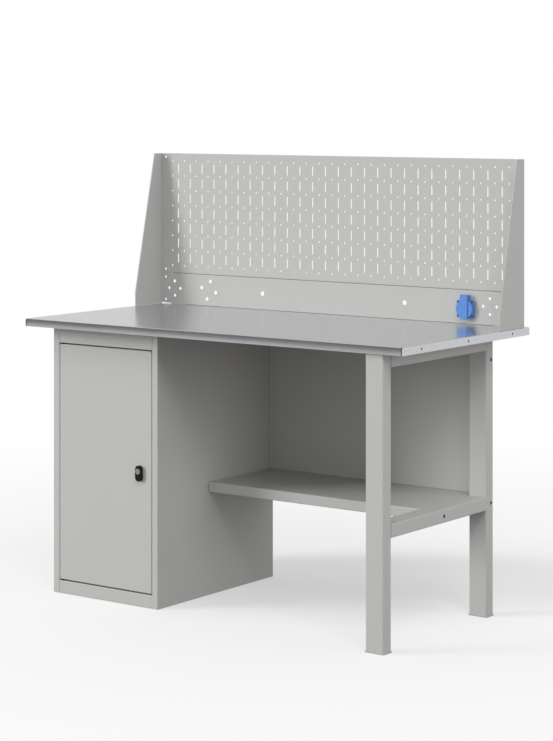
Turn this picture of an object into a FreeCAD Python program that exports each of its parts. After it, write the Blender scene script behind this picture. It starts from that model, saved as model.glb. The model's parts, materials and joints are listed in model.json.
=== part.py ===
import FreeCAD, Part
import math
import os
from FreeCAD import Vector

os.makedirs("parts", exist_ok=True)

# A steel workbench: worktop, door cabinet on the left, leg frame on the right, back screen with a socket.
# Millimetres, +Z up, front towards -Y, origin on the floor under the middle of the worktop.

# Shared clearances
overrun = 5.0
shortest_edge = 0.001
running_fit = 0.05
body_gap = 0.4

# Worktop: a folded tray over a board
bench_width = 1400.0
bench_depth = 700.0
worktop_height = 856.0
worktop_thickness = 24.0
cover_sheet = 1.5
cover_bend = 1.5
corner_slit = 1.0
core_edge_radius = 3.0
end_screw_count = 3
end_screw_pitch = 250.0
end_screw_head_radius = 3.4
end_screw_radius = 1.7
end_screw_length = 30.0

# Cross recess of the screws that show, as shares of the head's radius
recess_reach_share = 0.62
recess_width_share = 0.3
recess_depth_share = 0.45

# Pan-head screws into the board
fixing_head_radius = 4.5
fixing_head_height = 2.5
fixing_radius = 2.0
fixing_length = 16.0
fixing_hole_clearance = 0.3
cabinet_fixing_inset = 75.0
bar_fixing_spacing = 300.0
driver_hole_radius = 6.0

# Cabinet
cabinet_inset = 63.0
cabinet_front_inset = 60.0
cabinet_width = 420.0
cabinet_depth = 586.0
cabinet_sheet = 1.0
cabinet_bend = 1.5
left_stile_width = 25.0
right_stile_width = 22.0
left_stile_return = 20.0
stop_lip = 10.0
stile_wrap = 20.0
back_flange = 20.0
top_rail = 51.3
rail_return = 20.0
plinth_height = 39.8
plinth_return = 18.0
plinth_seam = 0.8

# Cabinet's inner shelf and its rails
inner_shelf_height = 430.0
inner_shelf_flange = 20.0
inner_shelf_setback = 60.0
inner_shelf_side_gap = 2.5
inner_shelf_rear_gap = 3.0
shelf_rail_leg = 15.0

# Door
door_side_gap = 2.0
door_top_gap = 3.6
door_bottom_gap = 4.4
door_depth = 20.0
door_return = 14.0
door_bend = 1.0
stiffener_width = 40.0
stiffener_depth = 16.0
stiffener_rim = 12.0
stiffener_end_gap = 25.0
hinge_edge = 10.0
hinge_depth = 5.0
hinge_pin_radius = 2.5
hinge_pin_reach = 14.0
hinge_pin_proud = 1.5
bush_radius = 3.4
bush_collar_radius = 4.6
bush_length = 8.0
buffer_radius = 4.5
buffer_thickness = 1.2
buffer_end_inset = 60.0

# Lock
lock_edge = 43.7
lock_height = 412.0
handle_half_width = 11.8
handle_rise = 17.4
handle_drop = 30.6
handle_front = 12.5
handle_edge_radius = 3.0
lock_collar_radius = 11.0
lock_collar_height = 1.5
lock_sleeve_radius = 9.0
lock_sleeve_length = 19.0
lock_nut_flats = 24.0
lock_nut_height = 5.0
handle_shaft_radius = 6.0
shaft_square = 8.0
plug_radius = 8.6
plug_depth = 7.5
plug_proud = 0.5
key_slot_width = 1.8
key_slot_height = 8.0
key_slot_depth = 5.0
cam_length = 57.0
cam_half_width = 8.0
cam_thickness = 3.0
cam_screw_head_radius = 5.5
cam_screw_head_height = 3.0
cam_screw_radius = 2.5
cam_screw_length = 14.0

# Leg frame: one rectangular tube size throughout
leg_width = 60.0
leg_depth = 40.0
leg_wall = 2.0
leg_corner = 4.0
leg_inset = 67.0
front_leg_inset = 8.0
leg_span = 593.0
lower_bar_drop = 35.0
foot_thickness = 3.0
foot_margin = 3.0
foot_plug_height = 20.0
foot_plug_clearance = 0.1
access_hole_radius = 5.5

# Lower shelf
shelf_height = 352.0
shelf_front_inset = 308.0
shelf_sheet = 1.5
shelf_bend = 1.5
shelf_flange = 31.0
shelf_return = 15.0

# Back panel of the knee space
modesty_setback = 19.0
modesty_sheet = 1.0
modesty_bend = 1.0
modesty_flange = 15.0
modesty_flange_margin = 10.0
modesty_screw_inset = 150.0

# Bolts of the frame
bolt_radius = 3.0
bolt_hole_clearance = 0.3
bolt_flats = 10.0
bolt_head_height = 4.0
nut_height = 5.0
bolt_tip = 3.0
front_bolt_inset = 18.0
rear_bolt_inset = 12.0
upper_bolt_drop = 68.0
low_modesty_bolt_rise = 98.0

# Back screen
screen_inset = 33.0
screen_height = 504.0
panel_sheet = 1.0
panel_bend = 1.0
panel_flange = 15.0
panel_side_gap = 0.5
service_height = 103.0
panel_seam = 1.0
corner_notch = 3.5
bracket_inset = 0.5
bracket_sheet = 2.0
bracket_base_depth = 141.0
bracket_knee = 46.0
bracket_top_depth = 41.5
bracket_lift = 0.3
bracket_hem = 12.0
hem_fold_radius = 1.6
bracket_flange = 43.0
foot_web_width = 55.0
foot_web_gap = 2.0
foot_web_height = 46.0
foot_web_reach = 28.0
foot_bend = 1.5
bracket_screw_spacing = 30.0

# Perforation of the pegboard
peg_pitch = 50.0
peg_hole_radius = 2.75
peg_first_row = 25.0
peg_side_margin = 46.0
peg_slot_width = 4.0
peg_slot_length = 31.0

# Rivets of the panels
rivet_inset = 20.0
peg_rivet_edge = 12.0
service_rivet_edge = 14.0
rivet_radius = 5.0
rivet_bore_radius = 4.4
rivet_head_radius = 6.2
rivet_head_height = 0.4

# Holes of the service panel
service_hole_rise = 52.5
cable_hole_radius = 7.5
cable_hole_offset = 275.0
left_group_inset = 59.0
left_group_circle = 48.0
left_group_hole_radius = 5.0
second_group_inset = 203.0
second_group_circle = 60.0
second_group_hole_radius = 6.2
second_group_turn = -13.0
right_group_inset = 118.0
right_group_lift = 4.5
right_group_circle = 47.5
right_group_hole_radius = 4.6

# Socket
socket_inset = 199.5
socket_rise = 46.0
socket_width = 60.0
socket_block_height = 52.0
socket_block_depth = 8.0
socket_corner = 4.0
socket_edge_radius = 1.0
gasket_thickness = 1.0
barrel_radius = 22.0
barrel_depth = 24.0
barrel_hole_clearance = 0.5
recess_radius = 19.5
recess_depth = 18.0
insert_depth = 10.0
pin_spacing = 19.0
contact_radius = 3.4
contact_bore_radius = 2.5
earth_clip_width = 6.0
earth_clip_thickness = 0.8
earth_clip_inset = 1.2
earth_clip_reach = 10.0
socket_screw_spacing_x = 50.0
socket_screw_spacing_z = 43.5
socket_screw_radius = 1.6
socket_screw_head_radius = 3.0
socket_screw_head_height = 2.2
socket_nut_flats = 5.5
socket_nut_height = 2.4

# Socket's lid
lid_radius = 28.75
lid_depth = 7.2
lid_wall = 2.2
lid_band_width = 26.0
lid_band_proud = 3.5
lid_tab = 2.8
lid_tab_radius = 8.0
lid_rim_radius = 1.2
lid_band_edge_radius = 0.8
lid_axis_back = 0.4
lid_axis_rise = 9.6
lid_barrel_radius = 8.2
lid_pin_radius = 1.5
lid_knuckle_radius = 4.0
lid_knuckle_width = 4.0
lid_knuckle_spacing = 12.0
lid_neck_rear = 2.5
lid_neck_root = 2.0
lid_neck_root_depth = 4.0
lid_hood_clearance = 5.0
lid_spring_radius = 2.9

# Places that follow from the sizes above
along_x = Vector(1, 0, 0)
along_y = Vector(0, 1, 0)
along_z = Vector(0, 0, 1)
half_width = bench_width / 2
half_depth = bench_depth / 2
worktop_under = worktop_height - worktop_thickness

cabinet_left = cabinet_inset - half_width
cabinet_right = cabinet_left + cabinet_width
cabinet_front = cabinet_front_inset - half_depth
cabinet_rear = cabinet_front + cabinet_depth
opening_left = cabinet_left + left_stile_width
opening_right = cabinet_right - right_stile_width
rail_bottom = worktop_under - top_rail
side_front = cabinet_front + stile_wrap
back_front = cabinet_rear - back_flange
stop_face = cabinet_front + door_depth + buffer_thickness + body_gap
stop_rear = stop_face + cabinet_sheet

door_left = opening_left + door_side_gap
door_right = opening_right - door_side_gap
door_bottom = plinth_height + door_bottom_gap
door_top = rail_bottom - door_top_gap
door_rear = cabinet_front + door_depth
hinge_x = door_left + hinge_edge
hinge_y = cabinet_front + hinge_depth
lock_x = door_right - lock_edge

leg_outer = half_width - leg_inset
leg_inner = leg_outer - leg_width
front_leg_front = front_leg_inset - half_depth
front_leg_rear = front_leg_front + leg_depth
rear_leg_rear = front_leg_front + leg_span
rear_leg_front = rear_leg_rear - leg_depth
shelf_front = shelf_front_inset - half_depth

modesty_face = cabinet_rear - modesty_setback
shelf_bolt_z = shelf_height - shelf_flange / 2
front_bolt_y = shelf_front + front_bolt_inset
rear_bolt_y = rear_leg_rear - rear_bolt_inset
upper_bolt_z = worktop_under - upper_bolt_drop
low_bolt_z = shelf_height + low_modesty_bolt_rise
left_flange_bolt_y = cabinet_rear - modesty_setback / 2

panel_face = half_depth - screen_inset
panel_rear = panel_face + panel_sheet
bracket_rear = panel_rear + bracket_sheet
bracket_outer = half_width - bracket_inset
bracket_bottom = worktop_height + bracket_lift
screen_top = worktop_height + screen_height
panel_end = bracket_outer - bracket_sheet - panel_side_gap
flange_end = bracket_outer - bracket_flange - panel_side_gap
service_top = worktop_height + service_height
peg_bottom = service_top + panel_seam
rivet_x = half_width - rivet_inset
service_hole_z = worktop_height + service_hole_rise
foot_web_outer = bracket_outer - bracket_flange - foot_web_gap
foot_web_inner = foot_web_outer - foot_web_width

socket_x = half_width - socket_inset
socket_z = worktop_height + socket_rise
block_rear = panel_face - gasket_thickness
block_front = block_rear - socket_block_depth
block_top = socket_z + socket_block_height / 2
lid_axis_y = block_front + lid_axis_back
lid_axis_z = block_top + lid_axis_rise
lid_rear = block_front - body_gap
lid_front = lid_rear - lid_depth
band_front = lid_front - lid_band_proud
hood_top = lid_axis_z + lid_barrel_radius


# Shape helpers

def box(x0, x1, y0, y1, z0, z1):
    return Part.makeBox(x1 - x0, y1 - y0, z1 - z0, Vector(x0, y0, z0))


def rod(start, direction, radius, length):
    return Part.makeCylinder(radius, length, start, direction)


def tube(start, direction, radius, bore, length):
    return rod(start, direction, radius, length).cut(rod(start, direction, bore, length))


def join(*shapes):
    return shapes[0].multiFuse(list(shapes[1:])).removeSplitter()


def cut_all(shape, tools):
    return shape.cut(Part.makeCompound(list(tools)))


def in_plan(z):
    return lambda u, v: Vector(u, v, z)


def in_side(x):
    return lambda u, v: Vector(x, u, v)


def in_front(y):
    return lambda u, v: Vector(u, y, v)


def corner(before, here, after, radius):
    """Where a rounded corner starts, its middle and where it ends."""
    to_before = (before[0] - here[0], before[1] - here[1])
    to_after = (after[0] - here[0], after[1] - here[1])
    length_before = math.hypot(*to_before)
    length_after = math.hypot(*to_after)
    a = (to_before[0] / length_before, to_before[1] / length_before)
    b = (to_after[0] / length_after, to_after[1] / length_after)
    half_angle = math.acos(max(-1, min(1, a[0] * b[0] + a[1] * b[1]))) / 2
    setback = radius / math.tan(half_angle)
    bisector = (a[0] + b[0], a[1] + b[1])
    scale = (radius / math.sin(half_angle) - radius) / math.hypot(*bisector)
    start = (here[0] + a[0] * setback, here[1] + a[1] * setback)
    middle = (here[0] + bisector[0] * scale, here[1] + bisector[1] * scale)
    end = (here[0] + b[0] * setback, here[1] + b[1] * setback)
    return start, middle, end


def outline(points, radii, place):
    """A closed wire through the points, each corner rounded to its own radius."""
    corners = []
    for i, here in enumerate(points):
        if radii[i] > 0:
            corners.append(corner(points[i - 1], here, points[(i + 1) % len(points)], radii[i]))
        else:
            corners.append((here, here, here))
    edges = []
    for i, (start, middle, end) in enumerate(corners):
        if radii[i] > 0:
            edges.append(Part.Arc(place(*start), place(*middle), place(*end)).toShape())
        next_start = place(*corners[(i + 1) % len(corners)][0])
        if (next_start - place(*end)).Length > shortest_edge:
            edges.append(Part.makeLine(place(*end), next_start))
    return Part.Wire(edges)


def prism(points, radii, place, travel):
    return Part.Face(outline(points, radii, place)).extrude(travel)


def rounded_box(u0, u1, v0, v1, radius, place, travel):
    points = [(u0, v0), (u1, v0), (u1, v1), (u0, v1)]
    return prism(points, [radius] * len(points), place, travel)


def polygon(points, place, travel):
    return prism(points, [0] * len(points), place, travel)


def hexagon(centre, across_flats, place, travel):
    reach = across_flats / math.sqrt(3)
    points = []
    for i in range(6):
        angle = math.radians(60 * i + 30)
        points.append((centre[0] + reach * math.cos(angle), centre[1] + reach * math.sin(angle)))
    return polygon(points, place, travel)


def bent_sheet(path, sheet, bend, place, travel):
    """Folded sheet: the path is one face, and the sheet lies to its left, or to its right if sheet < 0."""
    directions = []
    for (u0, v0), (u1, v1) in zip(path, path[1:]):
        length = math.hypot(u1 - u0, v1 - v0)
        directions.append(((u1 - u0) / length, (v1 - v0) / length))
    offset_path = []
    path_radii = []
    offset_radii = []
    for i, (u, v) in enumerate(path):
        before = directions[max(i - 1, 0)]
        after = directions[min(i, len(directions) - 1)]
        spread = 1 + before[0] * after[0] + before[1] * after[1]
        normal_u = -(before[1] + after[1]) / spread
        normal_v = (before[0] + after[0]) / spread
        offset_path.append((u + normal_u * sheet, v + normal_v * sheet))
        turn = before[0] * after[1] - before[1] * after[0]
        inner_first = turn * sheet < 0
        if i in (0, len(path) - 1):
            path_radii.append(0)
            offset_radii.append(0)
        else:
            path_radii.append(bend if inner_first else bend + abs(sheet))
            offset_radii.append(bend + abs(sheet) if inner_first else bend)
    points = path + offset_path[::-1]
    radii = path_radii + offset_radii[::-1]
    return prism(points, radii, place, travel)


def pan_screw(face, direction, head_radius, head_height, radius, length):
    head = rod(face - direction * head_height, direction, head_radius, head_height)
    return join(head, rod(face, direction, radius, length))


def mirrored(shape):
    return shape.mirror(Vector(0, 0, 0), along_x)


def write(node, *shapes):
    solids = [solid for shape in shapes for solid in shape.Solids]
    whole = solids[0] if len(solids) == 1 else Part.makeCompound(solids)
    whole.exportStep("parts/" + node + ".step")
    print(node, len(solids), whole.isValid(), round(whole.Volume))


# Fasteners that also cut their own holes

def end_screw_places():
    first = -end_screw_pitch * (end_screw_count - 1) / 2
    z = worktop_under + worktop_thickness / 2
    places = []
    for side in (-1, 1):
        for i in range(end_screw_count):
            places.append((Vector(side * half_width, first + i * end_screw_pitch, z), along_x * -side))
    return places


def end_screws():
    screws = []
    cone = end_screw_head_radius - end_screw_radius
    for tip, inward in end_screw_places():
        head = Part.makeCone(end_screw_head_radius, end_screw_radius, cone, tip, inward)
        screws.append(join(head, rod(tip, inward, end_screw_radius, end_screw_length)))
    return screws


def crossed(screws, places, head_radius):
    """The screws with a cross recess in each head."""
    reach = head_radius * recess_reach_share
    half = head_radius * recess_width_share / 2
    depth = head_radius * recess_depth_share
    finished = []
    for screw, (face, inward) in zip(screws, places):
        along = box(-reach, reach, -half, half, -overrun, depth)
        across = box(-half, half, -reach, reach, -overrun, depth)
        cross = join(along, across)
        cross.Placement = FreeCAD.Placement(face, FreeCAD.Rotation(along_z, inward))
        finished.append(screw.cut(cross))
    return finished


def cabinet_fixing_points():
    points = []
    for x in (cabinet_left + cabinet_fixing_inset, cabinet_right - cabinet_fixing_inset):
        for y in (cabinet_front + cabinet_fixing_inset, cabinet_rear - cabinet_fixing_inset):
            points.append((x, y))
    return points


def bar_fixing_points():
    x = (leg_inner + leg_outer) / 2
    middle = (front_leg_rear + rear_leg_front) / 2
    return [(x, middle - bar_fixing_spacing / 2), (x, middle + bar_fixing_spacing / 2)]


def modesty_fixing_points():
    y = modesty_face + modesty_flange / 2 + modesty_sheet
    return [(cabinet_right + modesty_screw_inset, y), (leg_inner - modesty_screw_inset, y)]


def board_screw(x, y, z, direction):
    face = Vector(x, y, z)
    return pan_screw(face, direction, fixing_head_radius, fixing_head_height, fixing_radius, fixing_length)


def worktop_screws():
    screws = [board_screw(x, y, worktop_under - cabinet_sheet, along_z) for x, y in cabinet_fixing_points()]
    screws += [board_screw(x, y, worktop_under - leg_wall, along_z) for x, y in bar_fixing_points()]
    return screws


def modesty_screws():
    screws = []
    for x, y in modesty_fixing_points():
        screws.append(board_screw(x, y, worktop_under - modesty_sheet, along_z))
        screws.append(board_screw(x, y, shelf_height + modesty_sheet, -along_z))
    return screws


def bracket_screw_points():
    middle = (foot_web_outer + foot_web_inner) / 2
    y = panel_rear + bracket_sheet + (foot_web_reach - bracket_sheet) / 2
    points = []
    for side in (-1, 1):
        for offset in (-bracket_screw_spacing / 2, bracket_screw_spacing / 2):
            points.append((side * middle + offset, y))
    return points


def bracket_screws():
    z = worktop_height + bracket_sheet
    return [board_screw(x, y, z, -along_z) for x, y in bracket_screw_points()]


def screw_holes(points, z, sheet):
    radius = fixing_radius + fixing_hole_clearance
    return [rod(Vector(x, y, z - overrun), along_z, radius, sheet + 2 * overrun) for x, y in points]


# Worktop

def worktop_cover():
    radius = cover_bend + cover_sheet
    strip = radius + corner_slit
    long_path = [
        (-half_depth, worktop_under),
        (-half_depth, worktop_height),
        (half_depth, worktop_height),
        (half_depth, worktop_under),
    ]
    run = half_width - strip
    body = bent_sheet(long_path, -cover_sheet, cover_bend, in_side(-run), along_x * (2 * run))
    end_path = [
        (half_width - strip, worktop_height),
        (half_width, worktop_height),
        (half_width, worktop_under),
    ]
    depth = half_depth - radius
    end = bent_sheet(end_path, -cover_sheet, cover_bend, in_front(-depth), along_y * (2 * depth))
    inside = half_width - cover_sheet
    cheek = box(inside, half_width, -half_depth, half_depth, worktop_under, worktop_height - radius)
    cover = join(body, end, cheek, mirrored(end), mirrored(cheek))
    return cut_all(cover, end_screws() + bracket_screws())


def worktop_core():
    x = half_width - cover_sheet
    y = half_depth - cover_sheet
    top = worktop_height - cover_sheet
    radii = [0, 0, core_edge_radius, core_edge_radius]
    long_points = [(-y, worktop_under), (y, worktop_under), (y, top), (-y, top)]
    cross_points = [(-x, worktop_under), (x, worktop_under), (x, top), (-x, top)]
    along = prism(long_points, radii, in_side(-x), along_x * (2 * x))
    across = prism(cross_points, radii, in_front(-y), along_y * (2 * y))
    board = along.common(across)
    return cut_all(board, end_screws() + worktop_screws() + modesty_screws() + bracket_screws())


# Cabinet

def cabinet_left_side():
    return box(cabinet_left, cabinet_left + cabinet_sheet, side_front, cabinet_rear, 0, worktop_under)


def cabinet_right_side():
    side = box(cabinet_right - cabinet_sheet, cabinet_right, side_front, cabinet_rear, 0, worktop_under)
    return cut_all(side, bolt_holes(cabinet_bolts(), cabinet_right))


def left_stile():
    path = [
        (opening_left, cabinet_front + left_stile_return),
        (opening_left, cabinet_front),
        (cabinet_left, cabinet_front),
        (cabinet_left, side_front),
    ]
    return bent_sheet(path, -cabinet_sheet, cabinet_bend, in_plan(0), along_z * worktop_under)


def right_stile():
    path = [
        (opening_right, stop_face),
        (opening_right, cabinet_front),
        (cabinet_right, cabinet_front),
        (cabinet_right, side_front),
    ]
    return bent_sheet(path, cabinet_sheet, cabinet_bend, in_plan(0), along_z * worktop_under)


def door_stop():
    inside = cabinet_right - cabinet_sheet
    return box(opening_right - stop_lip, inside, stop_face, stop_rear, 0, worktop_under)


def behind_stiles(z0, z1):
    """Plate between the sides, behind the stiles' folded edges."""
    left_start = cabinet_front + left_stile_return
    left = box(cabinet_left + cabinet_sheet, opening_left, left_start, back_front, z0, z1)
    middle = box(opening_left, opening_right - stop_lip, left_start, back_front, z0, z1)
    right = box(opening_right - stop_lip, cabinet_right - cabinet_sheet, stop_rear, back_front, z0, z1)
    return join(left, middle, right)


def pin_hole(z):
    return rod(Vector(hinge_x, hinge_y, z - overrun), along_z, hinge_pin_radius, 2 * overrun)


def cabinet_top():
    path = [
        (cabinet_front + rail_return, rail_bottom),
        (cabinet_front, rail_bottom),
        (cabinet_front, worktop_under),
        (cabinet_front + left_stile_return, worktop_under),
    ]
    width = opening_right - opening_left
    rail = bent_sheet(path, -cabinet_sheet, cabinet_bend, in_side(opening_left), along_x * width)
    plate = behind_stiles(worktop_under - cabinet_sheet, worktop_under)
    holes = screw_holes(cabinet_fixing_points(), worktop_under - cabinet_sheet, cabinet_sheet)
    return cut_all(join(rail, plate), holes + [pin_hole(rail_bottom)])


def plinth():
    path = [
        (cabinet_front + plinth_return, 0),
        (cabinet_front, 0),
        (cabinet_front, plinth_height),
        (cabinet_front + plinth_return, plinth_height),
    ]
    start = opening_left + plinth_seam
    kick = bent_sheet(path, -cabinet_sheet, cabinet_bend, in_side(start), along_x * (opening_right - start))
    return kick.cut(pin_hole(plinth_height))


def cabinet_floor():
    top = plinth_height - cabinet_sheet
    plate = behind_stiles(top - cabinet_sheet, top)
    front_edge = cabinet_front + 2 * cabinet_sheet + cabinet_bend
    tongue = box(opening_left, opening_right - stop_lip, front_edge, cabinet_front + left_stile_return,
                 top - cabinet_sheet, top)
    return join(plate, tongue).cut(pin_hole(top))


def cabinet_back():
    left = cabinet_left + cabinet_sheet
    right = cabinet_right - cabinet_sheet
    path = [(left, cabinet_rear), (left, back_front), (right, back_front), (right, cabinet_rear)]
    tray = bent_sheet(path, cabinet_sheet, cabinet_bend, in_plan(0), along_z * worktop_under)
    return cut_all(tray, bolt_holes(cabinet_bolts(), cabinet_right))


def inner_shelf():
    x0 = cabinet_left + cabinet_sheet + inner_shelf_side_gap
    x1 = cabinet_right - cabinet_sheet - inner_shelf_side_gap
    y0 = cabinet_front + inner_shelf_setback
    y1 = back_front - inner_shelf_rear_gap
    z0 = inner_shelf_height - inner_shelf_flange
    path = [(y0, z0), (y0, inner_shelf_height), (y1, inner_shelf_height), (y1, z0)]
    return bent_sheet(path, -cabinet_sheet, cabinet_bend, in_side(x0), along_x * (x1 - x0))


def inner_shelf_rails():
    z = inner_shelf_height - cabinet_sheet
    left = cabinet_left + cabinet_sheet
    right = cabinet_right - cabinet_sheet
    y0 = cabinet_front + inner_shelf_setback + cabinet_sheet + cabinet_bend
    y1 = back_front - inner_shelf_rear_gap - cabinet_sheet - cabinet_bend
    left_path = [(left + shelf_rail_leg, z), (left, z), (left, z - shelf_rail_leg)]
    right_path = [(right - shelf_rail_leg, z), (right, z), (right, z - shelf_rail_leg)]
    travel = along_y * (y1 - y0)
    left_rail = bent_sheet(left_path, cabinet_sheet, cabinet_bend, in_front(y0), travel)
    right_rail = bent_sheet(right_path, -cabinet_sheet, cabinet_bend, in_front(y0), travel)
    return [left_rail, right_rail]


# Door

def door_skin():
    radius = door_bend + cabinet_sheet
    plan_path = [
        (door_left + door_return, door_rear),
        (door_left, door_rear),
        (door_left, cabinet_front),
        (door_right, cabinet_front),
        (door_right, door_rear),
        (door_right - door_return, door_rear),
    ]
    height = door_top - door_bottom - 2 * radius
    face = bent_sheet(plan_path, cabinet_sheet, door_bend, in_plan(door_bottom + radius), along_z * height)
    front = cabinet_front
    lower_path = [(front, door_bottom + radius), (front, door_bottom), (door_rear, door_bottom)]
    upper_path = [(front, door_top - radius), (front, door_top), (door_rear, door_top)]
    start = door_left + radius
    travel = along_x * (door_right - radius - start)
    lower = bent_sheet(lower_path, cabinet_sheet, door_bend, in_side(start), travel)
    upper = bent_sheet(upper_path, -cabinet_sheet, door_bend, in_side(start), travel)
    holes = [rod(Vector(hinge_x, hinge_y, z - overrun), along_z, bush_radius, 2 * overrun)
             for z in (door_bottom, door_top)]
    lock_hole = Vector(lock_x, cabinet_front - overrun, lock_height)
    holes.append(rod(lock_hole, along_y, lock_sleeve_radius, 2 * overrun))
    return cut_all(join(face, lower, upper), holes)


def door_stiffener():
    inside = cabinet_front + cabinet_sheet
    middle = (door_left + door_right) / 2
    rise = inside + stiffener_depth
    path = [
        (middle - stiffener_width / 2 - stiffener_rim, inside),
        (middle - stiffener_width / 2, inside),
        (middle - stiffener_width / 2, rise),
        (middle + stiffener_width / 2, rise),
        (middle + stiffener_width / 2, inside),
        (middle + stiffener_width / 2 + stiffener_rim, inside),
    ]
    z0 = door_bottom + stiffener_end_gap
    height = door_top - stiffener_end_gap - z0
    return bent_sheet(path, cabinet_sheet, door_bend, in_plan(z0), along_z * height)


def hinge_pins():
    upper = Vector(hinge_x, hinge_y, door_top - hinge_pin_reach)
    upper_end = rail_bottom + cabinet_sheet + hinge_pin_proud
    lower = Vector(hinge_x, hinge_y, plinth_height - 2 * cabinet_sheet - hinge_pin_proud)
    lower_end = door_bottom + hinge_pin_reach
    return [
        rod(upper, along_z, hinge_pin_radius, upper_end - upper.z),
        rod(lower, along_z, hinge_pin_radius, lower_end - lower.z),
    ]


def hinge_bushes():
    bore = hinge_pin_radius + running_fit
    bushes = []
    for z, gap, inward in ((door_top, door_top_gap, -along_z), (door_bottom, door_bottom_gap, along_z)):
        face = Vector(hinge_x, hinge_y, z)
        collar = gap - body_gap
        body = pan_screw(face, inward, bush_collar_radius, collar, bush_radius, bush_length)
        hole = rod(face - inward * (collar + overrun), inward, bore, bush_length + collar + 2 * overrun)
        bushes.append(body.cut(hole))
    return bushes


def door_buffers():
    x = door_right - stop_lip / 2
    z0 = door_bottom + buffer_end_inset
    z1 = door_top - buffer_end_inset
    return [rod(Vector(x, door_rear, z), along_y, buffer_radius, buffer_thickness) for z in (z0, z1)]


# Lock

lock_point = Vector(lock_x, cabinet_front, lock_height)
handle_rear = handle_front - lock_collar_height - body_gap
cam_front = stop_rear + body_gap - cabinet_front
cam_rear = cam_front + cam_thickness


def lock_at(depth):
    return lock_point + along_y * depth


def lock_sleeve():
    collar = rod(lock_at(-lock_collar_height), along_y, lock_collar_radius, lock_collar_height)
    body = rod(lock_at(0), along_y, lock_sleeve_radius, lock_sleeve_length)
    bore_length = lock_sleeve_length + 2 * overrun
    bore = rod(lock_at(-overrun), along_y, handle_shaft_radius + running_fit, bore_length)
    return join(collar, body).cut(bore)


def lock_nut():
    place = in_front(cabinet_front + cabinet_sheet)
    nut = hexagon((lock_x, lock_height), lock_nut_flats, place, along_y * lock_nut_height)
    return nut.cut(rod(lock_at(0), along_y, lock_sleeve_radius, lock_sleeve_length))


def handle_grip():
    points = [
        (lock_x - handle_half_width, lock_height - handle_drop),
        (lock_x + handle_half_width, lock_height - handle_drop),
        (lock_x + handle_half_width, lock_height + handle_rise),
        (lock_x - handle_half_width, lock_height + handle_rise),
    ]
    front = cabinet_front - handle_front
    grip = prism(points, [handle_half_width] * len(points), in_front(front), along_y * handle_rear)
    rim = [edge for edge in grip.Edges if edge.BoundBox.YMax < front + running_fit]
    return grip.makeFillet(handle_edge_radius, rim)


def lock_handle():
    grip = handle_grip()
    shaft_start = plug_depth + body_gap - handle_front
    shaft = rod(lock_at(shaft_start), along_y, handle_shaft_radius, cam_front - body_gap - shaft_start)
    half = shaft_square / 2
    square = box(lock_x - half, lock_x + half, cabinet_front, cabinet_front + cam_rear,
                 lock_height - half, lock_height + half)
    plug_bore = rod(lock_at(-handle_front - overrun), along_y, plug_radius + running_fit,
                    overrun + plug_depth + body_gap)
    return join(grip, shaft, square).cut(plug_bore).cut(cam_screw())


def lock_plug():
    front = -handle_front - plug_proud
    plug = rod(lock_at(front), along_y, plug_radius, plug_depth + plug_proud)
    half_slot = key_slot_width / 2
    half_height = key_slot_height / 2
    slot = box(lock_x - half_slot, lock_x + half_slot,
               cabinet_front + front - overrun, cabinet_front + front + key_slot_depth,
               lock_height - half_height, lock_height + half_height)
    return plug.cut(slot)


def lock_cam():
    points = [
        (lock_x - cam_half_width, lock_height - cam_length),
        (lock_x + cam_half_width, lock_height - cam_length),
        (lock_x + cam_half_width, lock_height + cam_half_width),
        (lock_x - cam_half_width, lock_height + cam_half_width),
    ]
    place = in_front(cabinet_front + cam_front)
    cam = prism(points, [cam_half_width] * len(points), place, along_y * cam_thickness)
    half = shaft_square / 2
    square = box(lock_x - half, lock_x + half, cabinet_front, cabinet_front + cam_rear,
                 lock_height - half, lock_height + half)
    return cam.cut(square)


def cam_screw():
    return pan_screw(lock_at(cam_rear), -along_y, cam_screw_head_radius, cam_screw_head_height,
                     cam_screw_radius, cam_screw_length)


# Leg frame

def square_tube(u0, u1, v0, v1, place, travel):
    outer = rounded_box(u0, u1, v0, v1, leg_corner, place, travel)
    inner = rounded_box(u0 + leg_wall, u1 - leg_wall, v0 + leg_wall, v1 - leg_wall,
                        leg_corner - leg_wall, place, travel)
    return outer.cut(inner)


def leg(front):
    travel = along_z * (worktop_under - foot_thickness)
    return square_tube(leg_inner, leg_outer, front, front + leg_depth, in_plan(foot_thickness), travel)


def access_hole(y, z):
    start = Vector(leg_outer - leg_wall - overrun, y, z)
    return rod(start, along_x, access_hole_radius, leg_wall + 2 * overrun)


def front_leg():
    return leg(front_leg_front)


def rear_leg():
    places = [(rear_bolt_y, shelf_bolt_z), (rear_bolt_y, upper_bolt_z)]
    holes = [access_hole(*place) for place in places] + bolt_holes(frame_bolts(), leg_inner)
    return cut_all(leg(rear_leg_front), holes)


def crossbar(bottom):
    travel = along_y * (rear_leg_front - front_leg_rear)
    return square_tube(leg_inner, leg_outer, bottom, bottom + leg_depth, in_front(front_leg_rear), travel)


def upper_crossbar():
    bottom = worktop_under - leg_depth
    driver_holes = []
    for x, y in bar_fixing_points():
        start = Vector(x, y, bottom - overrun)
        driver_holes.append(rod(start, along_z, driver_hole_radius, leg_wall + 2 * overrun))
    return cut_all(crossbar(bottom), driver_holes + screw_holes(bar_fixing_points(), worktop_under, leg_wall))


def lower_crossbar():
    holes = [access_hole(front_bolt_y, shelf_bolt_z)]
    bar = crossbar(shelf_height - lower_bar_drop)
    return cut_all(bar, holes + bolt_holes(frame_bolts(), leg_inner))


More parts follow.
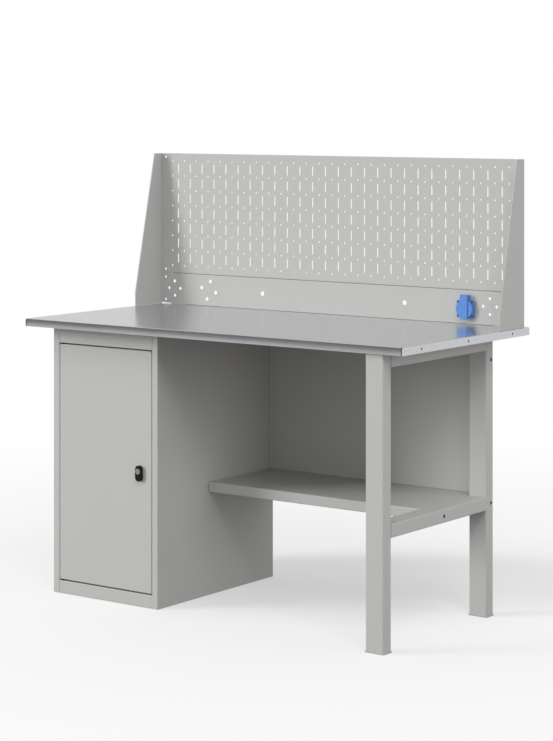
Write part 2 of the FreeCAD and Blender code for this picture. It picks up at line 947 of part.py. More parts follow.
def leg_feet():
    feet = []
    corner_radius = leg_corner + foot_margin
    inset = leg_wall + foot_plug_clearance
    for front in (front_leg_front, rear_leg_front):
        rear = front + leg_depth
        pad = rounded_box(leg_inner - foot_margin, leg_outer + foot_margin,
                          front - foot_margin, rear + foot_margin,
                          corner_radius, in_plan(0), along_z * foot_thickness)
        plug = rounded_box(leg_inner + inset, leg_outer - inset, front + inset, rear - inset,
                           leg_corner - leg_wall, in_plan(0), along_z * (foot_thickness + foot_plug_height))
        feet.append(join(pad, plug))
    return feet


# Lower shelf, back panel of the knee space and the bolts that hold them

def lower_shelf():
    radius = shelf_bend + shelf_sheet
    z0 = shelf_height - shelf_flange
    path = [
        (shelf_front + shelf_return, z0),
        (shelf_front, z0),
        (shelf_front, shelf_height),
        (cabinet_rear, shelf_height),
        (cabinet_rear, z0),
    ]
    start = cabinet_right + radius
    tray = bent_sheet(path, -shelf_sheet, shelf_bend, in_side(start), along_x * (leg_inner - radius - start))
    left_path = [(cabinet_right + radius, shelf_height), (cabinet_right, shelf_height), (cabinet_right, z0)]
    right_path = [(leg_inner - radius, shelf_height), (leg_inner, shelf_height), (leg_inner, z0)]
    travel = along_y * (cabinet_rear - shelf_front - 2 * radius)
    left = bent_sheet(left_path, shelf_sheet, shelf_bend, in_front(shelf_front + radius), travel)
    right = bent_sheet(right_path, -shelf_sheet, shelf_bend, in_front(shelf_front + radius), travel)
    holes = bolt_holes(frame_bolts(), leg_inner) + bolt_holes(cabinet_bolts(), cabinet_right)
    holes += screw_holes(modesty_fixing_points(), shelf_height - shelf_sheet, shelf_sheet)
    return cut_all(join(tray, left, right), holes)


def modesty_panel():
    radius = modesty_bend + modesty_sheet
    path = [
        (cabinet_right, cabinet_rear),
        (cabinet_right, modesty_face),
        (leg_inner - modesty_sheet, modesty_face),
        (leg_inner - modesty_sheet, rear_bolt_y - modesty_flange_margin),
    ]
    height = worktop_under - shelf_height - 2 * radius
    face = bent_sheet(path, modesty_sheet, modesty_bend, in_plan(shelf_height + radius), along_z * height)
    rear = modesty_face + modesty_flange
    lower_path = [(modesty_face, shelf_height + radius), (modesty_face, shelf_height), (rear, shelf_height)]
    top = worktop_under
    upper_path = [(modesty_face, top - radius), (modesty_face, top), (rear, top)]
    start = cabinet_right + radius
    travel = along_x * (leg_inner - modesty_sheet - radius - start)
    lower = bent_sheet(lower_path, modesty_sheet, modesty_bend, in_side(start), travel)
    upper = bent_sheet(upper_path, -modesty_sheet, modesty_bend, in_side(start), travel)
    holes = bolt_holes(frame_bolts(), leg_inner) + bolt_holes(cabinet_bolts(), cabinet_right)
    holes += screw_holes(modesty_fixing_points(), shelf_height, modesty_sheet)
    holes += screw_holes(modesty_fixing_points(), worktop_under - modesty_sheet, modesty_sheet)
    return cut_all(join(face, lower, upper), holes)


def frame_bolts():
    """Places on the leg frame: y, z, the wall that carries the head and the sheet that is clamped there."""
    return [
        (front_bolt_y, shelf_bolt_z, leg_wall, shelf_sheet),
        (rear_bolt_y, shelf_bolt_z, leg_wall, shelf_sheet),
        (rear_bolt_y, upper_bolt_z, leg_wall, modesty_sheet),
    ]


def cabinet_bolts():
    """Places on the cabinet's right side, in the same order; two of them also hold the back's folded edge."""
    return [
        (front_bolt_y, shelf_bolt_z, cabinet_sheet, shelf_sheet),
        (rear_bolt_y, shelf_bolt_z, cabinet_sheet, shelf_sheet),
        (left_flange_bolt_y, upper_bolt_z, 2 * cabinet_sheet, modesty_sheet),
        (left_flange_bolt_y, low_bolt_z, 2 * cabinet_sheet, modesty_sheet),
    ]


def bolt_holes(places, x):
    radius = bolt_radius + bolt_hole_clearance
    return [rod(Vector(x - overrun, y, z), along_x, radius, 2 * overrun) for y, z, wall, sheet in places]


def bolt_and_nut(x, direction, y, z, grip):
    """Head against the wall at x, shank along direction, nut past the clamped sheets."""
    head = hexagon((y, z), bolt_flats, in_side(x), along_x * (-direction * bolt_head_height))
    shank = rod(Vector(x, y, z), along_x * direction, bolt_radius, grip + nut_height + bolt_tip)
    nut = hexagon((y, z), bolt_flats, in_side(x + direction * grip), along_x * (direction * nut_height))
    return join(head, shank), nut.cut(shank)


def bolts_and_nuts():
    bolts = []
    nuts = []
    for y, z, wall, sheet in frame_bolts():
        bolt, nut = bolt_and_nut(leg_inner + wall, -1, y, z, wall + sheet)
        bolts.append(bolt)
        nuts.append(nut)
    for y, z, wall, sheet in cabinet_bolts():
        bolt, nut = bolt_and_nut(cabinet_right - wall, 1, y, z, wall + sheet)
        bolts.append(bolt)
        nuts.append(nut)
    return bolts, nuts


# Back screen

def along_fold(edge, fold):
    """Whether an edge runs along the folded front of a bracket."""
    ends = [[i for i, (y, z) in enumerate(fold) if math.hypot(vertex.Y - y, vertex.Z - z) < shortest_edge]
            for vertex in edge.Vertexes]
    return len(ends) == 2 and all(ends) and ends[0] != ends[1]


def bracket(side):
    outer = side * bracket_outer
    inward = along_x * -side
    base_front = bracket_rear - bracket_base_depth
    knee = bracket_bottom + bracket_knee
    top_front = bracket_rear - bracket_top_depth
    profile = [
        (base_front, bracket_bottom),
        (base_front, knee),
        (top_front, screen_top),
        (bracket_rear, screen_top),
        (bracket_rear, bracket_bottom),
    ]
    plate = polygon(profile, in_side(outer), inward * bracket_sheet)
    slope = math.hypot(top_front - base_front, screen_top - knee)
    slope_y = (top_front - base_front) / slope
    slope_z = (screen_top - knee) / slope
    knee_rise = bracket_hem * (1 - slope_z) / slope_y
    hem_points = [
        (base_front, bracket_bottom),
        (base_front, knee),
        (top_front, screen_top),
        (top_front + bracket_hem / slope_z, screen_top),
        (base_front + bracket_hem, knee - knee_rise + bracket_hem * slope_y * (1 - slope_z)),
        (base_front + bracket_hem, bracket_bottom),
    ]
    hem = polygon(hem_points, in_side(outer - side * bracket_sheet), inward * bracket_sheet)
    lip_z = worktop_height + corner_notch + bracket_sheet
    web_top = worktop_height + foot_web_height
    inner = side * (bracket_outer - bracket_flange)
    web_inner = side * foot_web_inner
    flange_points = [
        (outer, lip_z),
        (web_inner, lip_z),
        (web_inner, web_top),
        (inner, web_top),
        (inner, screen_top),
        (outer, screen_top),
    ]
    flange = polygon(flange_points, in_front(panel_rear), along_y * bracket_sheet)
    foot_path = [
        (panel_rear, lip_z),
        (panel_rear, worktop_height),
        (panel_rear + foot_web_reach, worktop_height),
    ]
    foot_place = in_side(side * foot_web_outer)
    foot = bent_sheet(foot_path, bracket_sheet, foot_bend, foot_place, inward * foot_web_width)
    holes = screw_holes(bracket_screw_points(), worktop_height, bracket_sheet)
    body = cut_all(join(plate, hem, flange, foot), holes + rivet_holes() + left_group_holes())
    return body.makeFillet(hem_fold_radius, [edge for edge in body.Edges if along_fold(edge, profile[:3])])


def peg_rivet_heights():
    return [screen_top - peg_rivet_edge, peg_bottom + peg_rivet_edge]


def service_rivet_heights():
    return [service_top - service_rivet_edge, worktop_height + service_rivet_edge]


def rivet_points():
    heights = peg_rivet_heights() + service_rivet_heights()
    return [(side * rivet_x, z) for side in (-1, 1) for z in heights]


def rivet_holes():
    start = panel_face - overrun
    length = bracket_rear + overrun - start
    return [rod(Vector(x, start, z), along_y, rivet_radius, length) for x, z in rivet_points()]


def panel_rivets():
    grip = bracket_rear - panel_face
    rivets = []
    for x, z in rivet_points():
        front = Vector(x, panel_face - rivet_head_height, z)
        rear = Vector(x, bracket_rear, z)
        shank = rod(front, along_y, rivet_radius, grip + 2 * rivet_head_height)
        heads = [rod(place, along_y, rivet_head_radius, rivet_head_height) for place in (front, rear)]
        bore = rod(front - along_y * overrun, along_y, rivet_bore_radius, grip + 4 * overrun)
        rivets.append(join(shank, *heads).cut(bore))
    return rivets


def circle_wire(x, z, radius):
    return Part.Wire(Part.Circle(Vector(x, panel_face, z), -along_y, radius).toShape())


def slot_wire(x, z):
    half_w = peg_slot_width / 2
    half_l = peg_slot_length / 2
    corners = [(-half_w, -half_l), (half_w, -half_l), (half_w, half_l), (-half_w, half_l)]
    points = [(x + u, z + v) for u, v in corners]
    return outline(points, [half_w] * len(points), in_front(panel_face))


def perforated(points, holes):
    border = outline(points, [0] * len(points), in_front(panel_face))
    return Part.makeFace([border] + holes, "Part::FaceMakerBullseye").extrude(along_y * panel_sheet)


def peg_places():
    columns = int((panel_end - peg_side_margin) // peg_pitch)
    rows = int((screen_top - peg_bottom - 2 * peg_first_row) // peg_pitch) + 1
    xs = [peg_pitch * i for i in range(-columns, columns + 1)]
    zs = [peg_bottom + peg_first_row + peg_pitch * i for i in range(rows)]
    return xs, zs


def pegboard():
    radius = panel_bend + panel_sheet
    points = [
        (-panel_end, peg_bottom),
        (-flange_end, peg_bottom),
        (-flange_end, peg_bottom + radius),
        (flange_end, peg_bottom + radius),
        (flange_end, peg_bottom),
        (panel_end, peg_bottom),
        (panel_end, screen_top),
        (flange_end, screen_top),
        (flange_end, screen_top - radius),
        (-flange_end, screen_top - radius),
        (-flange_end, screen_top),
        (-panel_end, screen_top),
    ]
    xs, zs = peg_places()
    holes = [circle_wire(x, z, peg_hole_radius) for x in xs for z in zs]
    holes += [slot_wire(x + peg_pitch / 2, z + peg_pitch / 2) for x in xs[:-1] for z in zs[:-1]]
    holes += [circle_wire(side * rivet_x, z, rivet_radius) for side in (-1, 1) for z in peg_rivet_heights()]
    sheet = perforated(points, holes)
    rear = panel_face + panel_flange
    lower_path = [(panel_face, peg_bottom + radius), (panel_face, peg_bottom), (rear, peg_bottom)]
    upper_path = [(panel_face, screen_top - radius), (panel_face, screen_top), (rear, screen_top)]
    travel = along_x * (2 * flange_end)
    lower = bent_sheet(lower_path, panel_sheet, panel_bend, in_side(-flange_end), travel)
    upper = bent_sheet(upper_path, -panel_sheet, panel_bend, in_side(-flange_end), travel)
    return join(sheet, lower, upper)


def group_points(x, z, circle, turn=0):
    """Four places on a circle, a quarter turn apart."""
    angles = [math.radians(90 * i + turn) for i in range(4)]
    return [(x + circle / 2 * math.cos(angle), z + circle / 2 * math.sin(angle)) for angle in angles]


def left_group_points():
    return group_points(left_group_inset - half_width, service_hole_z, left_group_circle)


def left_group_holes():
    """Two of the left group's holes go on through the bracket behind the panel."""
    length = bracket_rear + overrun - panel_rear
    return [rod(Vector(x, panel_rear, z), along_y, left_group_hole_radius, length)
            for x, z in left_group_points()]


def socket_screw_points():
    half_x = socket_screw_spacing_x / 2
    half_z = socket_screw_spacing_z / 2
    return [(socket_x + i * half_x, socket_z + j * half_z) for i in (-1, 1) for j in (-1, 1)]


def service_panel():
    radius = panel_bend + panel_sheet
    fold_end = foot_web_inner - foot_web_gap
    bottom = worktop_height
    notch = bottom + corner_notch
    points = [
        (-panel_end, notch),
        (-flange_end, notch),
        (-flange_end, bottom),
        (-fold_end, bottom),
        (-fold_end, bottom + radius),
        (fold_end, bottom + radius),
        (fold_end, bottom),
        (flange_end, bottom),
        (flange_end, notch),
        (panel_end, notch),
        (panel_end, service_top),
        (flange_end, service_top),
        (flange_end, service_top - radius),
        (-flange_end, service_top - radius),
        (-flange_end, service_top),
        (-panel_end, service_top),
    ]
    holes = [circle_wire(side * cable_hole_offset, service_hole_z, cable_hole_radius) for side in (-1, 1)]
    second_group = group_points(second_group_inset - half_width, service_hole_z, second_group_circle,
                                second_group_turn)
    right_group = group_points(half_width - right_group_inset, service_hole_z + right_group_lift,
                               right_group_circle)
    holes += [circle_wire(x, z, left_group_hole_radius) for x, z in left_group_points()]
    holes += [circle_wire(x, z, second_group_hole_radius) for x, z in second_group]
    holes += [circle_wire(x, z, right_group_hole_radius) for x, z in right_group]
    holes.append(circle_wire(socket_x, socket_z, barrel_radius + barrel_hole_clearance))
    holes += [circle_wire(x, z, socket_screw_radius) for x, z in socket_screw_points()]
    for z in service_rivet_heights():
        holes += [circle_wire(side * rivet_x, z, rivet_radius) for side in (-1, 1)]
    sheet = perforated(points, holes)
    rear = panel_face + panel_flange
    lower_path = [(panel_face, bottom + radius), (panel_face, bottom), (rear, bottom)]
    upper_path = [(panel_face, service_top - radius), (panel_face, service_top), (rear, service_top)]
    lower = bent_sheet(lower_path, panel_sheet, panel_bend, in_side(-fold_end), along_x * (2 * fold_end))
    upper = bent_sheet(upper_path, -panel_sheet, panel_bend, in_side(-flange_end), along_x * (2 * flange_end))
    return join(sheet, lower, upper)


# Socket

def socket_rod(y, radius, length):
    return rod(Vector(socket_x, y, socket_z), along_y, radius, length)


def socket_slab(y, depth):
    half_x = socket_width / 2
    half_z = socket_block_height / 2
    return rounded_box(socket_x - half_x, socket_x + half_x, socket_z - half_z, socket_z + half_z,
                       socket_corner, in_front(y), along_y * depth)


def socket_screws():
    screws = []
    length = panel_rear - block_front + socket_nut_height + socket_screw_radius
    for x, z in socket_screw_points():
        head = rod(Vector(x, block_front, z), along_y, socket_screw_head_radius, socket_screw_head_height)
        screws.append(join(head, rod(Vector(x, block_front, z), along_y, socket_screw_radius, length)))
    return screws


def socket_nuts():
    nuts = []
    for x, z in socket_screw_points():
        nut = hexagon((x, z), socket_nut_flats, in_front(panel_rear), along_y * socket_nut_height)
        nuts.append(cut_all(nut, socket_screws()))
    return nuts


def soft_front(shape, radius):
    """Rounds the edges of the face that points forward."""
    front = shape.BoundBox.YMin + shortest_edge
    return shape.makeFillet(radius, [edge for edge in shape.Edges if edge.BoundBox.YMax < front])


def knuckle(x):
    """One ear of the hinge, standing on top of the socket's block."""
    foot_top = block_top + lid_neck_root
    rear = lid_axis_y + lid_neck_rear
    points = [
        (block_front, block_top),
        (block_front + lid_neck_root_depth, block_top),
        (block_front + lid_neck_root_depth, foot_top),
        (rear, foot_top + lid_neck_root),
        (rear, lid_axis_z),
        (block_front, lid_axis_z),
    ]
    neck = polygon(points, in_side(x), along_x * lid_knuckle_width)
    eye = rod(Vector(x, lid_axis_y, lid_axis_z), along_x, lid_knuckle_radius, lid_knuckle_width)
    return join(neck, eye)


def lid_pin():
    reach = lid_band_width / 2 - body_gap
    return rod(Vector(socket_x - reach, lid_axis_y, lid_axis_z), along_x, lid_pin_radius, 2 * reach)


def knuckle_starts():
    half_span = lid_knuckle_spacing / 2
    half_knuckle = lid_knuckle_width / 2
    return [socket_x - half_span - half_knuckle, socket_x + half_span - half_knuckle]


def socket_body():
    ears = [knuckle(x) for x in knuckle_starts()]
    barrel = socket_rod(block_front, barrel_radius, socket_block_depth + barrel_depth)
    recess = socket_rod(block_front - overrun, recess_radius, overrun + recess_depth + insert_depth)
    block = soft_front(socket_slab(block_front, socket_block_depth), socket_edge_radius)
    body = join(block, barrel, *ears)
    return cut_all(body, [recess, lid_pin()] + socket_screws())


def socket_gasket():
    gasket = socket_slab(block_rear, gasket_thickness)
    return cut_all(gasket, [socket_rod(block_front, barrel_radius, barrel_depth)] + socket_screws())


def contact_places():
    half = pin_spacing / 2
    y = block_front + recess_depth
    return [Vector(socket_x + side * half, y, socket_z) for side in (-1, 1)]


def socket_contacts():
    places = contact_places()
    return [tube(place, along_y, contact_radius, contact_bore_radius, insert_depth) for place in places]


def earth_clips():
    clips = []
    half = earth_clip_width / 2
    outer = recess_radius - earth_clip_inset
    inner = outer - earth_clip_thickness
    y0 = block_front + recess_depth - earth_clip_reach
    y1 = block_front + recess_depth + insert_depth
    for side in (-1, 1):
        low, high = sorted((socket_z + side * inner, socket_z + side * outer))
        clips.append(box(socket_x - half, socket_x + half, y0, y1, low, high))
    return clips


def socket_insert():
    carrier = socket_rod(block_front + recess_depth, recess_radius, insert_depth)
    sockets = [rod(place, along_y, contact_radius, insert_depth) for place in contact_places()]
    return cut_all(carrier, sockets + earth_clips())


def lid_window():
    """Room for the ears in the lid's hood, open to the rear for the lid's travel."""
    starts = knuckle_starts()
    x0 = starts[0] - body_gap
    width = starts[1] + lid_knuckle_width + body_gap - x0
    reach = lid_barrel_radius + overrun
    front = lid_axis_y - lid_hood_clearance
    points = [
        (front, lid_axis_z),
        (front, lid_axis_z - reach),
        (lid_axis_y + reach, lid_axis_z - reach),
        (lid_axis_y + reach, lid_axis_z + reach),
        (lid_axis_y, lid_axis_z),
    ]
    eye = rod(Vector(x0, lid_axis_y, lid_axis_z), along_x, lid_hood_clearance, width)
    return join(polygon(points, in_side(x0), along_x * width), eye)


def socket_lid():
    half_band = lid_band_width / 2
    left = socket_x - half_band
    right = socket_x + half_band
    disc = soft_front(socket_rod(lid_front, lid_radius, lid_depth), lid_rim_radius)
    hollow = socket_rod(lid_front + lid_wall, lid_radius - lid_wall, lid_depth + overrun)
    tab_bottom = socket_z - lid_radius - lid_tab
    band_points = [(left, tab_bottom), (right, tab_bottom), (right, hood_top), (left, hood_top)]
    band_radii = [lid_tab_radius, lid_tab_radius, lid_wall, lid_wall]
    band = prism(band_points, band_radii, in_front(band_front), along_y * (lid_band_proud + lid_wall))
    hood_front = band_front + lid_wall
    hood_bottom = block_top - lid_wall
    cheeks = box(left, right, hood_front, lid_rear, hood_bottom, hood_top)
    roof = box(left, right, lid_rear, lid_axis_y, lid_axis_z, hood_top)
    barrel = rod(Vector(left, lid_axis_y, lid_axis_z), along_x, lid_barrel_radius, lid_band_width)
    hood_points = [(left, hood_bottom), (right, hood_bottom), (right, hood_top), (left, hood_top)]
    hood_depth = lid_axis_y + lid_barrel_radius + overrun - hood_front
    silhouette = prism(hood_points, [0, 0, lid_wall, lid_wall], in_front(hood_front), along_y * hood_depth)
    hood = join(cheeks, roof, barrel).common(silhouette)
    reach = half_band + overrun
    pin_bore = rod(Vector(socket_x - reach, lid_axis_y, lid_axis_z), along_x,
                   lid_pin_radius + running_fit, 2 * reach)
    shell = join(disc.cut(hollow), soft_front(band, lid_band_edge_radius), hood)
    return cut_all(shell, [lid_window(), pin_bore])


def lid_spring():
    starts = knuckle_starts()
    start = Vector(starts[0] + lid_knuckle_width, lid_axis_y, lid_axis_z)
    length = starts[1] - starts[0] - lid_knuckle_width
    return tube(start, along_x, lid_spring_radius, lid_pin_radius, length)


# The pieces

write("worktop_cover", worktop_cover())
write("worktop_core", worktop_core())
write("worktop_end_screws", *crossed(end_screws(), end_screw_places(), end_screw_head_radius))
write("worktop_fixing_screws", *worktop_screws())
write("cabinet_left_side", cabinet_left_side())
write("cabinet_right_side", cabinet_right_side())
write("left_stile", left_stile())
write("right_stile", right_stile())
write("door_stop", door_stop())
write("cabinet_top", cabinet_top())
write("cabinet_floor", cabinet_floor())
write("cabinet_back", cabinet_back())
write("plinth", plinth())
write("inner_shelf", inner_shelf())
write("inner_shelf_rails", *inner_shelf_rails())
write("door_skin", door_skin())
write("door_stiffener", door_stiffener())
write("door_buffers", *door_buffers())
write("hinge_pins", *hinge_pins())
write("hinge_bushes", *hinge_bushes())
write("lock_sleeve", lock_sleeve())
write("lock_nut", lock_nut())
write("lock_handle", lock_handle())
write("lock_plug", lock_plug())
write("lock_cam", lock_cam())
write("cam_screw", cam_screw())
write("front_leg", front_leg())
write("rear_leg", rear_leg())
write("upper_crossbar", upper_crossbar())
write("lower_crossbar", lower_crossbar())
write("leg_feet", *leg_feet())
write("lower_shelf", lower_shelf())
write("modesty_panel", modesty_panel())
write("modesty_screws", *modesty_screws())
all_bolts, all_nuts = bolts_and_nuts()
write("frame_bolts", *all_bolts)
write("frame_nuts", *all_nuts)
write("left_bracket", bracket(-1))
write("right_bracket", bracket(1))
write("bracket_screws", *bracket_screws())
write("pegboard", pegboard())
write("service_panel", service_panel())
write("panel_rivets", *panel_rivets())
write("socket_body", socket_body())
write("socket_gasket", socket_gasket())
write("socket_insert", socket_insert())
write("socket_contacts", *socket_contacts())
write("earth_clips", *earth_clips())
write("socket_lid", socket_lid())
write("lid_hinge_pin", lid_pin())
write("lid_spring", lid_spring())
socket_screw_places = [(Vector(x, block_front, z), along_y) for x, z in socket_screw_points()]
write("socket_screws", *crossed(socket_screws(), socket_screw_places, socket_screw_head_radius))
write("socket_nuts", *socket_nuts())
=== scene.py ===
import json
import math

import bmesh
import bpy
from mathutils import Matrix, Vector


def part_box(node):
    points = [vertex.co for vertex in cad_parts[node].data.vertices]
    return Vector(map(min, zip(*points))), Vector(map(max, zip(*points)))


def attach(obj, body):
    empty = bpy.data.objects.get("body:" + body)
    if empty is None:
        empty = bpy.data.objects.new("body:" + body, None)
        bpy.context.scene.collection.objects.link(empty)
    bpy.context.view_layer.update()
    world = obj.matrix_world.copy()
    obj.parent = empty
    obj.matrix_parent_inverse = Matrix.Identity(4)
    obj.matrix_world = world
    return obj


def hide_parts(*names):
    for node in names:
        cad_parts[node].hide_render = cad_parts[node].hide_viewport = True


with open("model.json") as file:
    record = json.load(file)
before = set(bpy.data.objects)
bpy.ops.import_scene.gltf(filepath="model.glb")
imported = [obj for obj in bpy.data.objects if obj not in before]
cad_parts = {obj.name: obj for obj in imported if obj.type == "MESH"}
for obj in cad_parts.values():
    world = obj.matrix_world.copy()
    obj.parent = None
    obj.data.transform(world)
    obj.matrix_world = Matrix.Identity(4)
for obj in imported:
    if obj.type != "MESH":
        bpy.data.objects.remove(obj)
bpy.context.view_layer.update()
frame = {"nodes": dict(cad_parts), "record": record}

scene = bpy.context.scene
nodes = frame["nodes"]
print("frame loaded:", len(nodes), "nodes")


class Field:
    # one output of a node; sums and products of fields turn into Math nodes
    def __init__(self, finish, socket):
        self.finish = finish
        self.socket = socket

    def math(self, operation, first, second):
        return self.finish.node("ShaderNodeMath", {"operation": operation}, {0: first, 1: second})

    def __add__(self, other):
        return self.math("ADD", self, other)

    def __sub__(self, other):
        return self.math("SUBTRACT", self, other)

    def __mul__(self, other):
        return self.math("MULTIPLY", self, other)

    def __rsub__(self, other):
        return self.math("SUBTRACT", other, self)

    __radd__ = __add__
    __rmul__ = __mul__


class Finish:
    # the nodes of one material or world; its patterns lie on the field called place
    def __init__(self, owner, coordinates):
        owner.use_nodes = True
        self.owner = owner
        self.tree = owner.node_tree
        self.place = self.node("ShaderNodeTexCoord", out=coordinates)

    def feed(self, socket, value):
        if isinstance(value, Field):
            self.tree.links.new(value.socket, socket)
        else:
            socket.default_value = value

    def node(self, kind, settings=None, inputs=None, out=0):
        made = self.tree.nodes.new(kind)
        for name, value in (settings or {}).items():
            setattr(made, name, value)
        for name, value in (inputs or {}).items():
            self.feed(made.inputs[name], value)
        return Field(self, made.outputs[out])

    def axis(self, letter):
        return self.node("ShaderNodeSeparateXYZ", None, {"Vector": self.place}, letter)

    def length(self, vector):
        return self.node("ShaderNodeVectorMath", {"operation": "LENGTH"}, {0: vector}, "Value")

    def noise(self, scale, detail, stretch=(1, 1, 1)):
        spot = self.node("ShaderNodeMapping", None, {"Vector": self.place, "Scale": stretch})
        return self.node("ShaderNodeTexNoise", None, {"Vector": spot, "Scale": scale, "Detail": detail})

    def cells(self, scale, stretch=(1, 1, 1)):
        spot = self.node("ShaderNodeMapping", None, {"Vector": self.place, "Scale": stretch})
        colours = self.node("ShaderNodeTexVoronoi", None, {"Vector": spot, "Scale": scale}, "Color")
        return self.node("ShaderNodeSeparateColor", None, {"Color": colours})

    def ramp(self, value, low, high):
        return self.node("ShaderNodeMapRange", {"interpolation_type": "SMOOTHSTEP"},
                         {"Value": value, "From Min": low, "From Max": high})

    def blend(self, factor, first, second):
        # a Mix node has its two colours at sockets 6 and 7, and the mixed one at output 2
        return self.node("ShaderNodeMix", {"data_type": "RGBA"}, {0: factor, 6: first, 7: second}, 2)

    def bump(self, height, distance, strength=1.0, normal=None):
        sockets = {"Height": height, "Distance": distance, "Strength": strength}
        if normal:
            sockets["Normal"] = normal
        return self.node("ShaderNodeBump", None, sockets)

    def shader(self):
        return self.tree.nodes["Principled BSDF"]


def newFinish(name, constants):
    finish = Finish(bpy.data.materials.new(name), "Object")
    for socket, value in constants.items():
        finish.shader().inputs[socket].default_value = value
    return finish


def setSockets(finish, **sockets):
    names = {"colour": "Base Color", "rough": "Roughness", "normal": "Normal"}
    for key, value in sockets.items():
        finish.feed(finish.shader().inputs[names[key]], value)
    return finish.owner


def rgb(red, green, blue):
    return (red, green, blue, 1.0)


def grey(shade):
    return rgb(shade, shade, shade)


# Light grey powder coat
paint = {
    "light": rgb(0.520, 0.518, 0.503),
    "deep": rgb(0.498, 0.497, 0.483),
    "cloud": {"scale": 3.5, "detail": 3},
    "speck": {"scale": 1100, "detail": 1},
    "speckShare": 0.3,
    "peel": {"scale": 420, "detail": 1},
    "peelBump": {"distance": 0.00010, "strength": 0.6},
    "grain": {"scale": 2200, "detail": 1},
    "grainBump": {"distance": 0.00002, "strength": 0.5},
    "smear": {"scale": 14, "detail": 4},
    "smearRough": 0.10,
    "rough": 0.40,
    "shine": 0.45,
}


def powderCoat(name):
    finish = newFinish(name, {"Specular IOR Level": paint["shine"]})
    cloud = finish.noise(**paint["cloud"])
    speck = finish.noise(**paint["speck"])
    mottle = cloud * (1 - paint["speckShare"]) + speck * paint["speckShare"]
    colour = finish.blend(mottle, paint["light"], paint["deep"])
    peel = finish.bump(finish.noise(**paint["peel"]), **paint["peelBump"])
    grain = finish.bump(finish.noise(**paint["grain"]), normal=peel, **paint["grainBump"])
    rough = finish.noise(**paint["smear"]) * paint["smearRough"] + paint["rough"]
    return setSockets(finish, colour=colour, rough=rough, normal=grain)


# Galvanised cover of the worktop
galvanised = {
    "light": rgb(0.785, 0.795, 0.82),
    "dark": rgb(0.725, 0.735, 0.76),
    "rolled": {"scale": 60, "detail": 5, "stretch": (0.03, 1, 1)},
    "rolledBump": {"distance": 0.00001, "strength": 0.4},
    "rolledColour": 0.6,
    "rolledEdges": (0.3, 0.7),
    "rolledRough": 0.04,
    "spangle": {"scale": 90},
    "spangleColour": 0.3,
    "spangleRough": 0.02,
    "rough": 0.19,
    "bulgeRise": 0.005,  # the bulge's crest above the tray's lower edge
    "bulgeCurve": 3.6,
    "wave": {"scale": 11, "detail": 2},
    "waveDepth": 0.0005,
    "topSkin": (0.0003, 0.0008),  # the waves set in between these depths below the top
}


def galvanisedSteel():
    finish = newFinish("galvanisedSteel", {"Metallic": 1.0})
    rolled = finish.noise(**galvanised["rolled"])
    spangle = finish.cells(**galvanised["spangle"])
    mottle = rolled * galvanised["rolledColour"] + spangle * galvanised["spangleColour"]
    colour = finish.blend(mottle, galvanised["light"], galvanised["dark"])
    streak = finish.ramp(rolled, *galvanised["rolledEdges"]) * galvanised["rolledRough"]
    rough = streak + spangle * galvanised["spangleRough"] + galvanised["rough"]
    # the folded sides bulge a little, and wander along their length
    low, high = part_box("worktop_cover")
    height = finish.axis("Z")
    above = height - (low.z + galvanised["bulgeRise"])
    bulge = above * above * -galvanised["bulgeCurve"]
    skinTop, skinBottom = galvanised["topSkin"]
    side = 1 - finish.ramp(height, high.z - skinBottom, high.z - skinTop)
    wave = finish.noise(**galvanised["wave"]) * side * galvanised["waveDepth"]
    folded = finish.bump(bulge + wave, distance=1.0)  # both are heights in metres
    normal = finish.bump(rolled, normal=folded, **galvanised["rolledBump"])
    return setSockets(finish, colour=colour, rough=rough, normal=normal)


# Plated and blackened metal of the small fittings
plating = {
    "brushDetail": 3,
    "brushStretch": (1, 1, 0.15),
    "brushBump": {"distance": 0.00003, "strength": 0.4},
    "brushRough": 0.12,
    "tarnish": {"scale": 45, "detail": 4},
    "tarnishRough": 0.06,
    "metals": {
        "zinc": {"name": "zincPlate", "rough": 0.22, "brushScale": 500,
                 "light": rgb(0.66, 0.66, 0.63), "dark": rgb(0.50, 0.50, 0.47)},
        "dark_steel": {"name": "blackenedSteel", "rough": 0.35, "brushScale": 500,
                       "light": rgb(0.07, 0.07, 0.075), "dark": rgb(0.03, 0.03, 0.032)},
        "nickel": {"name": "nickelPlate", "rough": 0.18, "brushScale": 900,
                   "light": rgb(0.60, 0.595, 0.575), "dark": rgb(0.50, 0.495, 0.475)},
        "brass": {"name": "bareBrass", "rough": 0.24, "brushScale": 500,
                  "light": rgb(0.75, 0.56, 0.26), "dark": rgb(0.55, 0.38, 0.15)},
    },
}


def platedMetal(metal):
    finish = newFinish(metal["name"], {"Metallic": 1.0})
    brush = finish.noise(metal["brushScale"], plating["brushDetail"], plating["brushStretch"])
    tarnish = finish.noise(**plating["tarnish"])
    colour = finish.blend(tarnish, metal["light"], metal["dark"])
    rough = brush * plating["brushRough"] + tarnish * plating["tarnishRough"] + metal["rough"]
    return setSockets(finish, colour=colour, rough=rough, normal=finish.bump(brush, **plating["brushBump"]))


